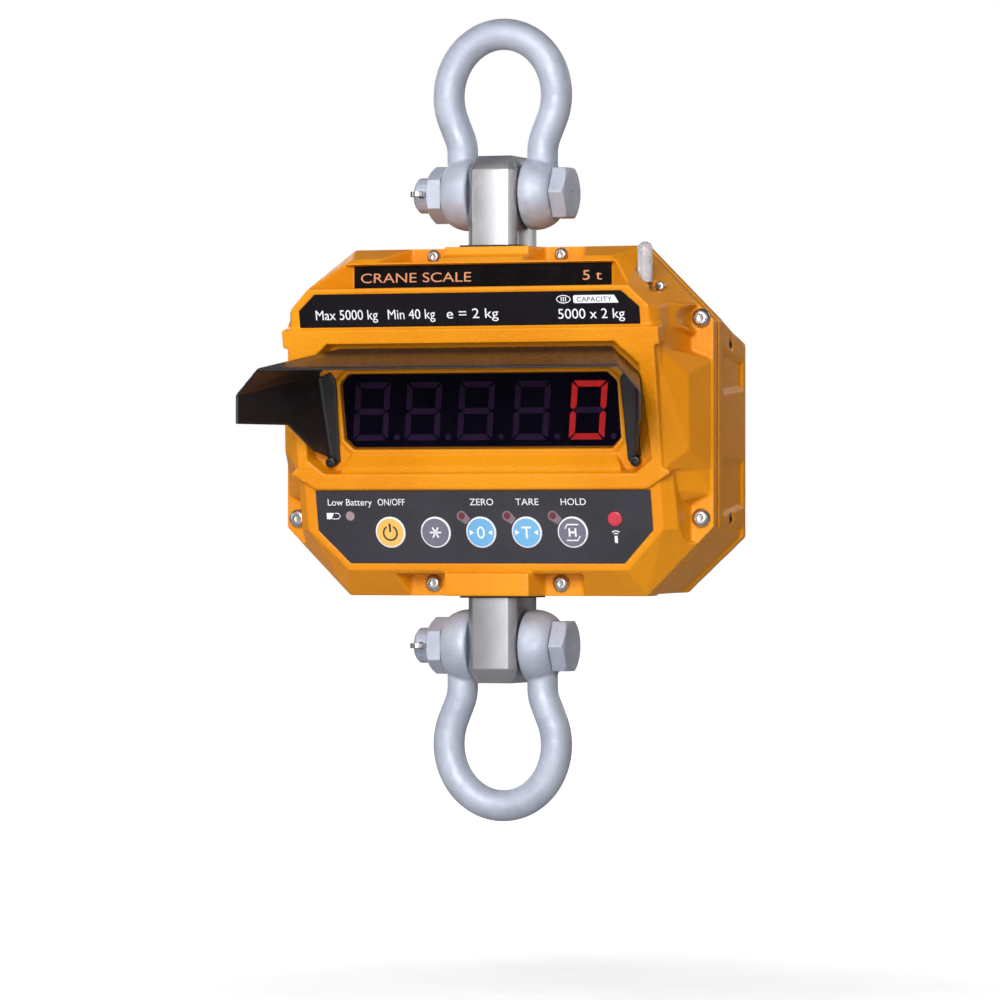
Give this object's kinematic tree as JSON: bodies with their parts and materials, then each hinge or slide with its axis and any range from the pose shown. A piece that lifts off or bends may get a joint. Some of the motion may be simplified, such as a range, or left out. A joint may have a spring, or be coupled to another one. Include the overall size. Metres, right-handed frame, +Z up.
{
  "type": "crane scale",
  "caption": "Electronic crane scale: cast housing with display, sun hood and keypad on a load-cell bar between two swinging bow shackles.",
  "frame": {"origin": "where the crane hook seats, inside the crown of the upper bow", "axes": "+X to the right seen from the front, +Y to the back, +Z up"},
  "size_m": [0.317, 0.2097, 0.562],
  "materials": {
    "housing_paint": "textured orange powder coat on cast aluminium",
    "galvanised_steel": "satin galvanised forging",
    "nickel_plate": "satin nickel plate",
    "stainless": "bright stainless steel",
    "black_steel": "satin black powder coat",
    "seal_rubber": "matt black",
    "display_glass": "smoked gloss acrylic",
    "display_plastic": "matt black",
    "overlay_film": "satin polyester film",
    "board_green": "solder mask",
    "battery_wrap": "shrink wrap",
    "key_yellow": "satin film",
    "key_grey": "satin film",
    "key_blue": "satin film",
    "lens_red": "gloss lens",
    "clear_plastic": "clear sleeve"
  },
  "bodies": {
    "upper_shackle": {"upper_shackle_bow": "galvanised_steel", "upper_shackle_bolt": "galvanised_steel", "upper_shackle_nut": "galvanised_steel", "upper_cotter_pin": "stainless"},
    "housing": {"front_cover": "housing_paint", "rear_housing": "housing_paint", "load_cell": "nickel_plate", "display_window": "display_glass", "display_hood": "black_steel", "gauge_cover_right": "stainless", "gauge_cover_left": "stainless", "display_module": "display_plastic", "key_board": "board_green", "main_board": "board_green", "battery_pack": "battery_wrap", "upper_cell_clamp": "stainless", "lower_cell_clamp": "stainless", "gasket_right": "seal_rubber", "gasket_left": "seal_rubber", "upper_cell_seal": "seal_rubber", "lower_cell_seal": "seal_rubber", "name_strip": "overlay_film", "capacity_label": "overlay_film", "keypad_overlay": "overlay_film", "receiver_lens": "lens_red", "seal_sleeve": "clear_plastic", "seal_screw": "stainless", "seal_wire": "stainless", "hood_screw_left": "black_steel", "hood_screw_right": "black_steel", "door_hinge_pin": "stainless", "cover_screw_top_left": "stainless", "cover_screw_top_right": "stainless", "cover_screw_right_upper": "stainless", "cover_screw_right_lower": "stainless", "cover_screw_bottom_right": "stainless", "cover_screw_bottom_left": "stainless", "cover_screw_left_lower": "stainless", "cover_screw_left_upper": "stainless", "side_screw_left_upper": "black_steel", "side_screw_right_upper": "black_steel", "side_screw_left_lower": "black_steel", "side_screw_right_lower": "black_steel", "upper_cell_clamp_screw_left": "stainless", "upper_cell_clamp_screw_right": "stainless", "lower_cell_clamp_screw_left": "stainless", "lower_cell_clamp_screw_right": "stainless"},
    "lower_shackle": {"lower_shackle_bow": "galvanised_steel", "lower_shackle_bolt": "galvanised_steel", "lower_shackle_nut": "galvanised_steel", "lower_cotter_pin": "stainless"},
    "battery_door": {"battery_door": "housing_paint"},
    "thumb_screw_left": {"thumb_screw_left": "stainless"},
    "thumb_screw_right": {"thumb_screw_right": "stainless"},
    "power_key": {"power_key": "key_yellow"},
    "function_key": {"function_key": "key_grey"},
    "zero_key": {"zero_key": "key_blue"},
    "tare_key": {"tare_key": "key_blue"},
    "hold_key": {"hold_key": "key_grey"}
  },
  "joints": [
    {"name": "upper_swing", "type": "hinge", "parent": "upper_shackle", "child": "housing", "pos_m": [0, 0, -0.101], "axis": [1, 0, 0], "range_deg": [-90, 90]},
    {"name": "lower_swing", "type": "hinge", "parent": "housing", "child": "lower_shackle", "pos_m": [0, 0, -0.417], "axis": [1, 0, 0], "range_deg": [-90, 90]},
    {"name": "door_hinge", "type": "hinge", "parent": "housing", "child": "battery_door", "pos_m": [0, 0.0687, -0.305], "axis": [-1, 0, 0], "range_deg": [0, 110]},
    {"name": "thumb_left_turn", "type": "hinge", "parent": "battery_door", "child": "thumb_screw_left", "pos_m": [-0.074, 0.07, -0.211], "axis": [0, 1, 0], "continuous": true},
    {"name": "thumb_right_turn", "type": "hinge", "parent": "battery_door", "child": "thumb_screw_right", "pos_m": [0.074, 0.07, -0.211], "axis": [0, 1, 0], "continuous": true},
    {"name": "power_press", "type": "slide", "parent": "housing", "child": "power_key", "axis": [0, 0.9763, 0.2164], "range_m": [0, 0.0007], "stiffness_N_per_m": 900},
    {"name": "function_press", "type": "slide", "parent": "housing", "child": "function_key", "axis": [0, 0.9763, 0.2164], "range_m": [0, 0.0007], "stiffness_N_per_m": 900},
    {"name": "zero_press", "type": "slide", "parent": "housing", "child": "zero_key", "axis": [0, 0.9763, 0.2164], "range_m": [0, 0.0007], "stiffness_N_per_m": 900},
    {"name": "tare_press", "type": "slide", "parent": "housing", "child": "tare_key", "axis": [0, 0.9763, 0.2164], "range_m": [0, 0.0007], "stiffness_N_per_m": 900},
    {"name": "hold_press", "type": "slide", "parent": "housing", "child": "hold_key", "axis": [0, 0.9763, 0.2164], "range_m": [0, 0.0007], "stiffness_N_per_m": 900}
  ]
}
